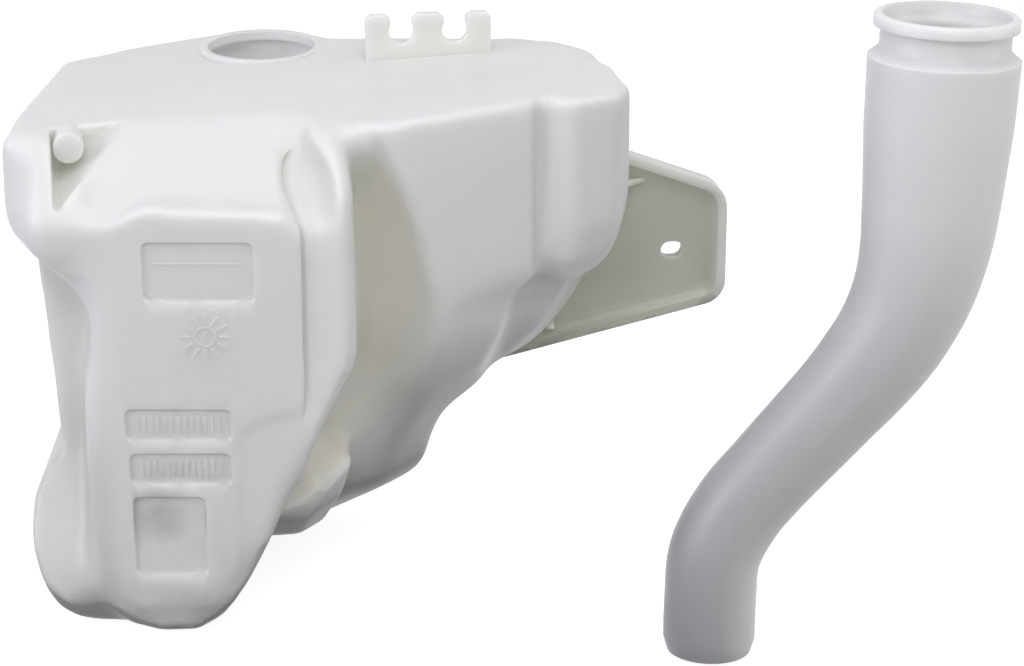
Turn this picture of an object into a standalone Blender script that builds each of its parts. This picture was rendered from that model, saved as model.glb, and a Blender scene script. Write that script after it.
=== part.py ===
"""Washer fluid reservoir: a blow-moulded tank and the separate filler neck that stands beside it.

Frame: X to the right, Y towards the vehicle's panel, Z up. The origin lies on the back face of the
mounting ear, 12 mm below the middle of the bolt slot. The plane Y = 0 is also the mould's parting plane.
Sizes are in millimetres and become metres in the two functions that make meshes.
"""
import bpy
import bmesh
from math import cos, pi, radians, sin, tan
from mathutils import Vector

MM = 0.001

# Blown wall and mesh fineness
WALL = 2.6
COARSE_VOXEL = 3.0
FINE_VOXEL = 2.0
TANK_TRIANGLES = 8000
CAVITY_TRIANGLES = 1600

# Top face, which falls gently towards the left
TOP_HEIGHT = 101.0
TOP_MIDDLE_X = -132.0
TOP_FALL = 0.04

# Head and leg at the left
HEAD_LEFT = -284.0
PANEL_TOP = 66.0
LEG_LEFT = -255.0
LEG_RIGHT = -147.0
LEG_FRONT = -100.0
LEG_TURN = 0.146
FLOOR = -109.0
PILLAR_WIDTH = 18.0
PILLAR_FRONT = -118.5
FIELD_DEPTH = 1.2
PAD_RISE = 0.8
HEAD_SLOPE = 1.36

# Screw pocket in the head and the boss in its corner
POCKET_FLOOR = 77.0
POCKET_WALL = -63.0
BOSS_DIAMETER = 12.0
BOSS_INSET = 28.0
BOSS_DROP = 10.8
BOSS_END = -74.5

# Long body at the right
BODY_RIGHT = -30.5
PANEL_RIGHT = -72.0
GROOVE_FLOOR = -75.0

# Filler hole and its lip
HOLE_X = -174.0
HOLE_Y = 32.0
HOLE_BORE = 46.0
HOLE_LIP_WIDTH = 3.5
HOLE_LIP_RISE = 1.2

# Mounting ear
EAR_THICKNESS = 9.0
EAR_DISH = 3.0
EAR_RIM = 4.0
EAR_RIGHT = 23.5
EAR_LOW_RADIUS = 11.0
EAR_HIGH_RADIUS = 14.0
SLOT_X = 0.0
SLOT_HEIGHT = 12.0
SLOT_LENGTH = 9.8
SLOT_WIDTH = 7.6

# Hose comb
COMB_LEFT = -132.0
COMB_RIGHT = -79.0
COMB_SINK = 3.0
COMB_RISE = 19.5
COMB_THICKNESS = 4.0
HOSE_NOTCH = 10.6
COMB_NOTCHES = (0.286, 0.712)

# Filler neck
NECK_WALL = 2.2
NECK_END_DIAMETER = 37.0
NECK_TOP_DIAMETER = 59.0
NECK_COLLAR_DIAMETER = 50.5
NECK_COLLAR_HEIGHT = 11.0
NECK_RIM_DIAMETER = 56.0
NECK_RIM_HEIGHT = 5.5
NECK_STEPS = [(0, 0, 0), (0.4, 1.1, 21), (2.1, 2.1, 41), (10.9, 3, 58.5), (23.3, 3.7, 73.3),
              (48.7, 5.1, 100.6), (61.3, 5.8, 115), (72, 6.5, 130), (79.8, 7.4, 147.3),
              (83.9, 8.3, 165.3), (85.7, 9.3, 184.5), (86.7, 10.2, 203), (87.7, 11.1, 222), (88.4, 12, 240)]
NECK_X = -10.0
NECK_Y = -147.0
NECK_SIDES = 24


def clear_scene():
    for thing in list(bpy.data.objects):
        bpy.data.objects.remove(thing, do_unlink=True)


def new_collection(name):
    group = bpy.data.collections.new(name)
    bpy.context.scene.collection.children.link(group)
    return group


def top_z(x):
    """Height of the sloping top face over the point x."""
    return TOP_HEIGHT + TOP_FALL * (x - TOP_MIDDLE_X)


def object_from(bm, name, group):
    """Turn a bmesh in millimetres into an object in metres."""
    bmesh.ops.recalc_face_normals(bm, faces=bm.faces)
    bmesh.ops.scale(bm, vec=(MM, MM, MM), verts=bm.verts)
    mesh = bpy.data.meshes.new(name)
    bm.to_mesh(mesh)
    bm.free()
    thing = bpy.data.objects.new(name, mesh)
    group.objects.link(thing)
    return thing


def loft(name, rings, group):
    """Closed solid through plan outlines; rings is a list of lists of (x, y, z) with equal counts."""
    bm = bmesh.new()
    loops = [[bm.verts.new(point) for point in ring] for ring in rings]
    for below, above in zip(loops, loops[1:]):
        for i in range(len(below)):
            j = (i + 1) % len(below)
            bm.faces.new((below[i], below[j], above[j], above[i]))
    bm.faces.new(loops[0][::-1])
    bm.faces.new(loops[-1])
    bmesh.ops.recalc_face_normals(bm, faces=bm.faces)
    bmesh.ops.triangulate(bm, faces=bm.faces)
    return object_from(bm, name, group)


def levels(name, sections, group):
    """Loft whose sections are (z, outline) pairs; z may be a number or the function top_z."""
    rings = []
    for z, outline in sections:
        rings.append([(x, y, z(x) if callable(z) else z) for x, y in outline])
    return loft(name, rings, group)


def plate(name, outline, front, back, group):
    """Outline in X and Z carried along Y; front and back are numbers or functions of x."""
    rings = []
    for y in (front, back):
        rings.append([(x, y(x) if callable(y) else y, z) for x, z in outline])
    return loft(name, rings, group)


def panel_y(x, depth=0.0):
    """Front plane of the leg, which turns a little to the left; depth goes into the tank."""
    return LEG_FRONT - LEG_TURN * (x - LEG_LEFT) + depth


def evaluated(thing):
    """Replace an object's mesh with what its modifiers make of it."""
    graph = bpy.context.evaluated_depsgraph_get()
    mesh = bpy.data.meshes.new_from_object(thing.evaluated_get(graph))
    thing.modifiers.clear()
    thing.data = mesh
    return thing


def fuse(name, lumps, voxel, passes, group):
    """Melt overlapping lumps into one rounded skin, as blown plastic takes the shape of its mould."""
    bm = bmesh.new()
    for lump in lumps:
        bm.from_mesh(lump.data)
        bpy.data.objects.remove(lump, do_unlink=True)
    mesh = bpy.data.meshes.new(name)
    bm.to_mesh(mesh)
    bm.free()
    skin = bpy.data.objects.new(name, mesh)
    group.objects.link(skin)
    remesh = skin.modifiers.new("melt", "REMESH")
    remesh.mode = "VOXEL"
    remesh.voxel_size = voxel * MM
    soften = skin.modifiers.new("soften", "SMOOTH")
    soften.factor = 0.5
    soften.iterations = passes
    return evaluated(skin)


def main_forms(group):
    """The large masses of the tank, before small forms are added."""
    hole_edge = HOLE_Y + HOLE_BORE / 2 + HOLE_LIP_WIDTH
    back = [(-145, 46), (-160, hole_edge + 3), (HOLE_X - 16, hole_edge + 6), (-223, 53), (-259, 36)]
    low_back = [(-145, 36), (-160, 48), (-190, 50), (-222, 42), (-254, 30)]
    head = levels("head", [
        (26, [(-254, -66), (-252, -84), (-246, -98), (-166, -110), (-150, -96)] + low_back),
        (37, [(-259, -66), (-257, -89), (-247, -100), (-167, -111), (-150, -96)] + low_back),
        (46, [(-271, -67), (-265, -93), (-248, panel_y(-248)), (-168, panel_y(-168)),
              (-150, -98)] + low_back),
        (54, [(-280, -68), (-272, -95), (-248, panel_y(-248)), (-168, panel_y(-168)), (-150, -98)] + back),
        (PANEL_TOP, [(HEAD_LEFT, -72), (-273, -97), (-248, panel_y(-248, -1.5)), (-170, panel_y(-170, -1.5)),
                     (-150, -98)] + back),
        (top_z, [(HEAD_LEFT, -72), (-268, -76), (-247, -59), (-178, -66), (-150, -66)] + back),
    ], group)

    leg_outline = [
        (-251, PANEL_TOP - 4), (-251, 14), (LEG_LEFT, -8), (LEG_LEFT - 1, -80), (LEG_LEFT + 4, -97),
        (-241, -106), (-230, FLOOR), (-215, FLOOR), (-203, -102), (-193, -88), (-186, -75), (-179, -58),
        (-161, -19.5), (LEG_RIGHT - 6, -2), (LEG_RIGHT, 12), (LEG_RIGHT, PANEL_TOP - 4)]
    leg = plate("leg", leg_outline, panel_y, -40, group)

    heel = levels("heel", [
        (FLOOR, [(-250, -88), (-215, -96), (-205, -30), (-205, 8), (-246, 8)]),
        (FLOOR + 3, [(-262, -92), (-208, -101), (-195, -30), (-195, 12), (-258, 12)]),
        (FLOOR + 11, [(-272, -94), (-200, -103), (-190, -30), (-190, 16), (-262, 16)]),
        (FLOOR + 22, [(-278, -92), (-200, -100), (-185, -30), (-185, 20), (-265, 20)]),
        (FLOOR + 36, [(-280, -84), (-200, -92), (-185, -30), (-185, 24), (-266, 22)]),
        (FLOOR + 48, [(-279, -74), (-200, -84), (-185, -30), (-185, 26), (-265, 24)]),
        (FLOOR + 57, [(-274, -67), (-200, -76), (-185, -30), (-185, 28), (-263, 26)]),
        (FLOOR + 66, [(-267, -62), (-200, -70), (-180, -30), (-180, 32), (-261, 28)]),
        (FLOOR + 82, [(-267, -60), (-200, -68), (-180, -30), (-180, 34), (-260, 29)]),
        (12, [(-269.5, -60), (-200, -70), (-180, -30), (-180, 40), (-259, 32)]),
        (PANEL_TOP, [(-274, -60), (-200, -70), (-180, -30), (-180, 48), (-258, 36)]),
    ], group)

    body = levels("body", [
        (-105, [(-205, -42), (-188, -32), (-172, -16), (-156, -5), (-151, 3), (-159, 10), (-205, 14)]),
        (-95, [(-203, -48), (-176, -40), (-159, -27), (-144, -14), (-126, 1), (-133, 10), (-203, 18)]),
        (-84, [(-200, -56), (-162, -48), (-143, -37), (-126, -20), (-111, 1), (-120, 12), (-200, 24)]),
        (-73, [(-200, -60), (-152, -55), (-130, -47), (-114, -30), (-107, 1), (-114, 13), (-200, 28)]),
        (-60, [(-200, -62), (-150, -59), (-128, -51), (-110, -32), (-103, 1), (-110, 13), (-200, 32)]),
        (-47, [(-200, -66), (-148, -61), (-123, -56), (-104, -33), (-91, 1), (-99, 13), (-200, 35)]),
        (-32, [(-200, -72), (-148, -63), (-118, -64), (-89, -38), (-76, 1), (-86, 14), (-200, 38)]),
        (-14, [(-200, -80), (-147, -64), (-116, -78), (-92, -66), (-60, 1), (-72, 14), (-200, 42)]),
        (4, [(-200, -80), (-146, -65), (-112, -88), (-86, -76), (-48, 0), (-60, 14), (-200, 46)]),
        (20, [(-200, -80), (-145, -67), (-111, -92), (-82, -78), (-40, -2), (-52, 14), (-200, 49)]),
        (31, [(-200, -80), (-145, -68), (-113, -93), (PANEL_RIGHT, -79), (-37, -3), (-49, 14), (-200, 51)]),
        (60, [(-200, -80), (-145, -72), (-121, -95), (PANEL_RIGHT, -79), (-35, -4), (-48, 14), (-200, 56)]),
        (TOP_HEIGHT - 13, [(-200, -68), (-146, -84), (-130, -96), (PANEL_RIGHT, -79), (-35, -4), (-48, 15),
                           (-200, 60)]),
        (top_z, [(-200, -35), (-146, -93), (-133, -96), (PANEL_RIGHT, -78), (-35, -4), (-48, 15),
                 (-200, 60)]),
    ], group)

    shoulder_lobe = levels("shoulder_lobe", [
        (21, [(-66, -58), (-56, -64), (-50, -60), (-46, -48), (-44, -20), (-66, -20)]),
        (32, [(-68, -72), (-56, -78), (-42, -72), (-37, -60), (-35, -14), (-68, -14)]),
        (46, [(-67, -77), (-56, -82), (-36, -76), (BODY_RIGHT - 3, -64), (BODY_RIGHT - 4, -10), (-67, -10)]),
        (60, [(-66, -78), (-57, -83), (-37, -78), (BODY_RIGHT, -66), (BODY_RIGHT - 2, -8), (-66, -8)]),
        (top_z, [(-65, -78), (-57, -83), (-37, -78), (BODY_RIGHT, -66), (BODY_RIGHT - 1, -12), (-65, -8)]),
    ], group)

    under_lobe = levels("under_lobe", [
        (-29, [(-98, -28), (-86, -30), (-78, -22), (-74, 4), (-98, 4)]),
        (-18, [(-96, -42), (-76, -40), (-63, -27), (-59, 6), (-96, 6)]),
        (0, [(-86, -52), (-63, -50), (-50, -32), (-46, 7), (-86, 7)]),
        (18, [(-78, -56), (-54, -54), (-41, -34), (-37, 8), (-78, 8)]),
        (34, [(-74, -60), (-48, -54), (-37, -34), (-36, 8), (-74, 8)]),
    ], group)
    return [head, leg, heel, body, shoulder_lobe, under_lobe]


def sunk_forms(group):
    """Forms that the mould presses in: the screw pocket, the groove between panels and the gutter."""
    deep = [(-263, POCKET_WALL, POCKET_FLOOR), (-231, POCKET_WALL + 5, TOP_HEIGHT - 3), (-262.5, -97, 69)]
    mouth = [(-263, POCKET_WALL, 125), (-231, POCKET_WALL + 5, 125), (-262.5, -130, TOP_HEIGHT)]
    pocket = loft("pocket", [deep, mouth], group)
    right = PANEL_RIGHT
    groove_plan = [(right - 0.5, -105), (right, GROOVE_FLOOR - 0.5), (right + 3, GROOVE_FLOOR),
                   (right + 9, GROOVE_FLOOR - 4), (right + 16, GROOVE_FLOOR - 10), (right + 16, -105)]
    groove = levels("groove", [(-8, groove_plan), (TOP_HEIGHT + 8, groove_plan)], group)
    sections = []
    for z, edge, depth in [
            (-20, -171, -1), (-12, -169.5, 0.4), (0, -168.4, 1.2), (20, -168.6, 1.8), (50, -168.3, 2.2),
            (64, -168.6, 3), (TOP_HEIGHT - 31, -170.8, 4), (TOP_HEIGHT - 25, -173.4, 5),
            (TOP_HEIGHT - 19, -173.6, 5), (TOP_HEIGHT - 15, -171.5, 3.5), (TOP_HEIGHT - 12, -168.6, 0),
            (TOP_HEIGHT - 9, -165, -7), (TOP_HEIGHT - 4, -160, -28)]:
        floor_y = panel_y(edge) + max(0.0, z - PANEL_TOP) * HEAD_SLOPE + depth
        flat = 4.0 if z > PANEL_TOP else 1.0
        rise_y = 0.6 * floor_y + 0.4 * PILLAR_FRONT
        sections.append((z, [(edge - 0.3, -140), (edge, floor_y), (edge + flat, floor_y), (-160, rise_y),
                             (-152, PILLAR_FRONT - 0.5), (-151, -140)]))
    gutter = levels("gutter", sections, group)
    return [pocket, groove, gutter]


def small_forms(group):
    """Pillar, corner, foot and the leg's raised front, which keep tighter radii than the main forms."""
    left = LEG_RIGHT - PILLAR_WIDTH
    sections = []
    for z, shift, right, front in [
            (-44, -8, -174, -109), (-21, -4, -162, -114), (-1, -1, LEG_RIGHT - 5.5, -117),
            (12, -1, LEG_RIGHT, PILLAR_FRONT), (60, 0, LEG_RIGHT, PILLAR_FRONT),
            (TOP_HEIGHT - 23, 0, LEG_RIGHT, PILLAR_FRONT + 1.5),
            (TOP_HEIGHT - 13, 1, LEG_RIGHT - 1, PILLAR_FRONT + 7.5),
            (TOP_HEIGHT - 6, 2, LEG_RIGHT - 2, PILLAR_FRONT + 16.5),
            (TOP_HEIGHT - 2, 3, LEG_RIGHT - 3, PILLAR_FRONT + 27.5)]:
        low, middle, high = left + shift, (left + shift + right) / 2, right
        sections.append((z, [(low, -60), (low, front + 5), (low + 4, front + 1), (middle, front),
                             (high - 4, front + 1), (high, front + 6), (high, -60)]))
    pillar = levels("pillar", sections, group)
    corner = levels("corner", [
        (40, [(-148, -64), (-141, -66), (-134, -64), (-131, -56), (-148, -56)]),
        (70, [(-149, -78), (-140, -80), (-131, -77), (-129, -60), (-149, -60)]),
        (TOP_HEIGHT - 11, [(-150, -93), (-140, -94), (-130, -89), (-126, -60), (-150, -60)]),
        (top_z, [(-149, -92), (-140, -92), (-130, -88), (-126, -60), (-149, -60)]),
    ], group)
    foot = levels("foot", [
        (-91, [(-186, -50), (-170, -50), (-162, -42), (-160, -20), (-186, -20)]),
        (-83, [(-190, -68), (-168, -68), (-158, -58), (-157, -20), (-190, -20)]),
        (-70, [(-186, -84), (-166, -84), (-156, -74), (-151, -20), (-186, -20)]),
        (-58, [(-178, -91), (-163, -91), (-151, -81), (-148, -20), (-178, -20)]),
        (-47, [(-172, -90), (-158, -90), (-146, -82), (-146, -30), (-172, -30)]),
        (-36, [(-168, -70), (-158, -70), (-149, -62), (-148, -30), (-168, -30)]),
    ], group)
    pad_corners = [(-244, -98), (-207, -98), (-180, -50), (-169, -24), (-169, 62), (-243, 71)]
    pad = plate("pad", round_outline(pad_corners, [10, 12, 5, 5, 3, 14]),
                lambda x: panel_y(x, -PAD_RISE), -60, group)
    return [pillar, corner, foot, pad]


def round_edges(thing, width, steps):
    """Round the sharp edges of a plain solid."""
    edge = thing.modifiers.new("edge", "BEVEL")
    edge.width = width * MM
    edge.segments = steps
    edge.limit_method = "ANGLE"
    edge.angle_limit = radians(50)
    return evaluated(thing)


def collapse(skin, triangles):
    """Reduce a skin to about the given number of triangles."""
    count = sum(len(face.vertices) - 2 for face in skin.data.polygons)
    reduce = skin.modifiers.new("reduce", "DECIMATE")
    reduce.ratio = min(1.0, triangles / count)
    reduce.use_collapse_triangulate = True
    return evaluated(skin)


def join(target, other, operation):
    """One exact Boolean step, with the cutter left behind."""
    step = target.modifiers.new(other.name, "BOOLEAN")
    step.operation = operation
    step.solver = "EXACT"
    step.object = other
    evaluated(target)


def hide_cutter(cutter):
    cutter.hide_render = True
    cutter.display_type = "WIRE"


def cavity_from(skin, group):
    """The hollow: the outer skin moved in by one wall."""
    inner = bpy.data.objects.new("cavity", skin.data.copy())
    group.objects.link(inner)
    shrink = inner.modifiers.new("wall", "DISPLACE")
    shrink.strength = -WALL * MM
    shrink.mid_level = 0.0
    clean = inner.modifiers.new("clean", "REMESH")
    clean.mode = "VOXEL"
    clean.voxel_size = COARSE_VOXEL * MM
    evaluated(inner)
    collapse(inner, CAVITY_TRIANGLES)
    hide_cutter(inner)
    return inner


def round_outline(points, radii, steps=6):
    """Round each corner of a closed (x, z) outline with an arc of its own radius."""
    corners = [Vector(point) for point in points]
    result = []
    for i, (corner, radius) in enumerate(zip(corners, radii)):
        before = (corners[i - 1] - corner).normalized()
        after = (corners[(i + 1) % len(corners)] - corner).normalized()
        half = before.angle(after) / 2
        centre = corner + (before + after).normalized() * (radius / sin(half))
        start = (corner + before * (radius / tan(half)) - centre).normalized()
        end = (corner + after * (radius / tan(half)) - centre).normalized()
        for k in range(steps + 1):
            result.append(tuple(centre + start.slerp(end, k / steps) * radius))
    return result


def inset(points, distance):
    """Move the corners of a convex (x, z) outline inwards by the given distance."""
    corners = [Vector(point) for point in points]
    result = []
    for i, corner in enumerate(corners):
        before = (corners[i - 1] - corner).normalized()
        after = (corners[(i + 1) % len(corners)] - corner).normalized()
        half = before.angle(after) / 2
        result.append(tuple(corner + (before + after).normalized() * (distance / sin(half))))
    return result


def ear(group):
    """Mounting ear: a pinched plate on the parting plane, dished in front, with two small gussets."""
    corners = [(-84, -35.4), (EAR_RIGHT, -10.9), (EAR_RIGHT, 40.5), (-19, 56.6), (-84, 60)]
    radii = [3, EAR_LOW_RADIUS, EAR_HIGH_RADIUS, 5, 3]
    whole = plate("ear", round_outline(corners, radii), -EAR_THICKNESS, 0.0, group)
    round_edges(whole, 2.4, 2)
    rings = []
    for depth, reach in ((-1.0, 0.0), (0.0, 0.0), (0.6 * EAR_DISH, EAR_DISH), (EAR_DISH, 3 * EAR_DISH)):
        inner = round_outline(inset(corners, EAR_RIM + reach), [max(1.0, r - EAR_RIM - reach) for r in radii])
        rings.append([(x, depth - EAR_THICKNESS, z) for x, z in inner])
    dish = loft("ear_dish", rings, group)
    join(whole, dish, "DIFFERENCE")
    bpy.data.objects.remove(dish, do_unlink=True)
    return whole


def gussets(group):
    """Two small webs that brace the ear's face."""
    upper = loft("upper_gusset", [[(-36, -22, z), (-36, -4, z), (-9, -4, z)] for z in (43.5, 46.0)], group)
    lower = loft("lower_gusset", [[(x, -4, -24), (x, -12, -20), (x, -4, -12)] for x in (-56, -52.5)], group)
    return [upper, lower]


def slot_cutter(group):
    """Bolt slot, longer in X than in Z."""
    half = (SLOT_LENGTH - SLOT_WIDTH) / 2
    outline = []
    for side, start in ((1, -pi / 2), (-1, pi / 2)):
        for k in range(7):
            angle = start + pi * k / 6
            outline.append((SLOT_X + side * half + SLOT_WIDTH / 2 * cos(angle),
                            SLOT_HEIGHT + SLOT_WIDTH / 2 * sin(angle)))
    return plate("bolt_slot", outline, -EAR_THICKNESS - 5, 5, group)


def comb(group):
    """Hose comb on the parting plane: three posts and two round notches with a narrower mouth."""
    width = COMB_RIGHT - COMB_LEFT
    base = TOP_HEIGHT - COMB_SINK
    top = TOP_HEIGHT + COMB_RISE
    radius = HOSE_NOTCH / 2
    seat = top - radius - 2.0
    outline = [(COMB_LEFT, base), (COMB_LEFT, top - 2), (COMB_LEFT + 2, top)]
    for share in COMB_NOTCHES:
        x = COMB_LEFT + width * share
        outline += [(x - radius - 1.5, top), (x - radius * 0.85, top - 2.0)]
        for k in range(9):
            angle = radians(150 + 30 * k)
            outline.append((x + radius * cos(angle), seat + radius * sin(angle)))
        outline += [(x + radius * 0.85, top - 2.0), (x + radius + 1.5, top)]
    outline += [(COMB_RIGHT - 2, top), (COMB_RIGHT, top - 2), (COMB_RIGHT, base)]
    return plate("comb", outline, -COMB_THICKNESS / 2, COMB_THICKNESS / 2, group)


def panel_recesses(group):
    """Four shallow moulded fields in the leg's front, given as left, right, bottom and top."""
    cutters = []
    for left, right, bottom, top in [(-230, -186.5, 35, 60), (-239.5, -197.5, -24, -10),
                                     (-238.5, -198, -43, -29), (-238, -209, -83, -48)]:
        corners = round_outline([(left, bottom), (right, bottom), (right, top), (left, top)], [3.0] * 4, 3)
        cutters.append(plate("field", corners, lambda x: panel_y(x, -6.0),
                             lambda x: panel_y(x, FIELD_DEPTH - PAD_RISE), group))
    return cutters


def cylinder_y(name, radius, x, z, y_front, y_back, group, sides=20):
    """Cylinder that lies along Y."""
    outline = []
    for k in range(sides):
        angle = 2 * pi * k / sides
        outline.append((x + radius * cos(angle), z + radius * sin(angle)))
    return plate(name, outline, y_front, y_back, group)


def disc(name, radius, height, x, y, z, group, sides=40):
    """Upright cylinder whose foot is at z."""
    bm = bmesh.new()
    bmesh.ops.create_cone(bm, cap_ends=True, segments=sides, radius1=radius, radius2=radius, depth=height)
    bmesh.ops.translate(bm, vec=(x, y, z + height / 2), verts=bm.verts)
    return object_from(bm, name, group)


def tank(parts, cutters):
    """The blown tank: forms melted together, hollowed, then ear, comb and openings."""
    coarse = fuse("tank", main_forms(parts), COARSE_VOXEL, 6, parts)
    skin = fuse("tank", [coarse] + small_forms(parts), FINE_VOXEL, 6, parts)
    for cut in sunk_forms(cutters):
        join(skin, cut, "DIFFERENCE")
        bpy.data.objects.remove(cut, do_unlink=True)
    peg = cylinder_y("screw_boss", BOSS_DIAMETER / 2, HEAD_LEFT + BOSS_INSET, TOP_HEIGHT - BOSS_DROP,
                     BOSS_END, POCKET_WALL + 8, parts)
    skin = fuse("tank", [skin, peg], FINE_VOXEL, 3, parts)
    hollow = cavity_from(skin, cutters)
    collapse(skin, TANK_TRIANGLES)

    lip_radius = HOLE_BORE / 2 + HOLE_LIP_WIDTH
    lip = disc("hole_lip", lip_radius, WALL + HOLE_LIP_RISE, HOLE_X, HOLE_Y, top_z(HOLE_X) - WALL, cutters)
    for added in [ear(cutters), comb(cutters), lip] + gussets(cutters):
        join(skin, added, "UNION")
        bpy.data.objects.remove(added, do_unlink=True)
    filler = disc("filler_hole", HOLE_BORE / 2, 30, HOLE_X, HOLE_Y, top_z(HOLE_X) - 18, cutters)
    for cutter in [hollow, filler, slot_cutter(cutters)] + panel_recesses(cutters):
        join(skin, cutter, "DIFFERENCE")
        hide_cutter(cutter)
    return skin


def smooth_path(points, steps):
    """Catmull-Rom curve through the given points, with that many pieces between neighbours."""
    spots = [Vector(point) for point in points]
    spots = [spots[0] * 2 - spots[1]] + spots + [spots[-1] * 2 - spots[-2]]
    path = []
    for p0, p1, p2, p3 in zip(spots, spots[1:], spots[2:], spots[3:]):
        for k in range(steps):
            t = k / steps
            path.append(0.5 * (2 * p1 + (p2 - p0) * t + (2 * p0 - 5 * p1 + 4 * p2 - p3) * t * t
                               + (3 * p1 - p0 - 3 * p2 + p3) * t ** 3))
    return path + [spots[-2]]


def ring_at(place, direction, radius):
    """Circle of points round a place, square to a direction."""
    side = direction.cross(Vector((0, 1, 0))).normalized()
    other = direction.cross(side).normalized()
    ring = []
    for k in range(NECK_SIDES):
        angle = 2 * pi * k / NECK_SIDES
        ring.append(place + radius * (cos(angle) * side + sin(angle) * other))
    return ring


def neck_profile():
    """Outer radius of the neck's body at a share of its length, from the lower end."""
    end = NECK_END_DIAMETER / 2
    top = NECK_TOP_DIAMETER / 2
    return [(0.0, end - 1.6), (0.02, end), (0.30, end), (0.45, end + 1.2), (0.60, end + 4.0),
            (0.75, end + 7.8), (0.90, top - 0.6), (1.0, top)]


def between(table, share):
    """Value read from a table of (share, value) pairs by straight lines."""
    for (a, low), (b, high) in zip(table, table[1:]):
        if share <= b:
            return low + (high - low) * (share - a) / (b - a)
    return table[-1][1]


def filler_neck(group):
    """Curved filler neck: a tapering tube with a collar and a rim, open at both ends."""
    foot = Vector((NECK_X, NECK_Y, FLOOR))
    path = smooth_path([foot + Vector(step) for step in NECK_STEPS], 2)
    lengths = [0.0]
    for a, b in zip(path, path[1:]):
        lengths.append(lengths[-1] + (b - a).length)
    profile = neck_profile()
    outer, inner = [], []
    for i, place in enumerate(path):
        direction = (path[min(i + 1, len(path) - 1)] - path[max(i - 1, 0)]).normalized()
        radius = between(profile, lengths[i] / lengths[-1])
        outer.append(ring_at(place, direction, radius))
        inner.append(ring_at(place, direction, radius - NECK_WALL))
    direction = (path[-1] - path[-2]).normalized()
    collar = NECK_COLLAR_DIAMETER / 2
    rim = NECK_RIM_DIAMETER / 2
    for rise, radius in [(1.5, rim - 0.5), (3.0, collar + 0.6), (4.5, collar), (NECK_COLLAR_HEIGHT, collar),
                         (NECK_COLLAR_HEIGHT + 0.8, rim), (NECK_COLLAR_HEIGHT + NECK_RIM_HEIGHT - 0.8, rim),
                         (NECK_COLLAR_HEIGHT + NECK_RIM_HEIGHT, rim - 0.8)]:
        outer.append(ring_at(path[-1] + direction * rise, direction, radius))
    bore = collar - NECK_WALL
    for rise, radius in [(4.5, bore), (NECK_COLLAR_HEIGHT - 0.5, bore),
                         (NECK_COLLAR_HEIGHT + 1.0, bore + 1.6),
                         (NECK_COLLAR_HEIGHT + NECK_RIM_HEIGHT, bore + 1.6)]:
        inner.append(ring_at(path[-1] + direction * rise, direction, radius))
    return tube_from("filler_neck", outer, inner, group)


def tube_from(name, outer, inner, group):
    """Closed tube wall between an outer and an inner run of rings."""
    bm = bmesh.new()
    rings = [[bm.verts.new(point) for point in ring] for ring in outer + inner[::-1]]
    for below, above in zip(rings, rings[1:] + rings[:1]):
        for i in range(len(below)):
            j = (i + 1) % len(below)
            bm.faces.new((below[i], below[j], above[j], above[i]))
    return object_from(bm, name, group)


def material(name, colour, roughness):
    finish = bpy.data.materials.new(name)
    finish.use_nodes = True
    shader = finish.node_tree.nodes["Principled BSDF"]
    shader.inputs["Base Color"].default_value = (*colour, 1.0)
    shader.inputs["Roughness"].default_value = roughness
    shader.inputs["Metallic"].default_value = 0.0
    return finish


def main():
    clear_scene()
    parts = new_collection("washer_fluid_reservoir")
    cutters = new_collection("cutters")
    body = tank(parts, cutters)
    neck = filler_neck(parts)
    for thing, finish in ((body, material("milky_polyethylene", (0.80, 0.80, 0.79), 0.42)),
                          (neck, material("neck_polyethylene", (0.80, 0.80, 0.80), 0.40))):
        thing.data.materials.clear()
        thing.data.materials.append(finish)
        thing.data.shade_smooth()
        thing.data.set_sharp_from_angle(angle=radians(40))


main()
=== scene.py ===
"""Washer fluid reservoir: the looks of the blown tank and of its filler neck.

Frame as in the CAD: X to the right, Y towards the vehicle's panel, Z up, in metres.
Sizes below are in millimetres and become metres where a mesh is made.
"""

from math import cos, pi, radians, sin, tan

import bmesh
import bpy
import numpy as np
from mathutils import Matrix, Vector
from mathutils.bvhtree import BVHTree
from mathutils.kdtree import KDTree


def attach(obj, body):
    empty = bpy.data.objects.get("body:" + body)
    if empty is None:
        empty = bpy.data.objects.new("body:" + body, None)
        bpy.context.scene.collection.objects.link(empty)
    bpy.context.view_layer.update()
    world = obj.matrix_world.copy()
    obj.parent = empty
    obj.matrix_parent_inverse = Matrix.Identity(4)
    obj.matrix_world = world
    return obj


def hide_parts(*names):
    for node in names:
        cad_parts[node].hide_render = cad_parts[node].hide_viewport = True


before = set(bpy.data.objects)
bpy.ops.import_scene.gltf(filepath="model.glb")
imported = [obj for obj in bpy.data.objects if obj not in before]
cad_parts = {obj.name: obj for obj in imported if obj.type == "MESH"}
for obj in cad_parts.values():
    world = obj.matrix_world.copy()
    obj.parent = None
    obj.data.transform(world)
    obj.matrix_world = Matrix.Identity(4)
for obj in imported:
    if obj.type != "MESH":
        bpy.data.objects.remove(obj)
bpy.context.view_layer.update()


# The studio: a white sweep of paper that takes a soft shadow, and the camera that looks
# down a little on the tank's front from the left. The lamps are large soft boxes.
MM = 0.001
FLOOR_HEIGHT = -109.9
CAMERA_PLACE = Vector((-230.1, -1140.1, 416.2)) * MM
CAMERA_LOOK = Vector((0.130, 0.924, -0.358))
CAMERA_LENS = 98.44


def plain_mesh(name, corners, faces):
    """Object from corner points in millimetres."""
    mesh = bpy.data.meshes.new(name)
    mesh.from_pydata([Vector(corner) * MM for corner in corners], [], faces)
    thing = bpy.data.objects.new(name, mesh)
    bpy.context.scene.collection.objects.link(thing)
    return thing


def principled(name):
    """New material and its shader."""
    finish = bpy.data.materials.new(name)
    finish.use_nodes = True
    return finish, finish.node_tree.nodes["Principled BSDF"]


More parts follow.
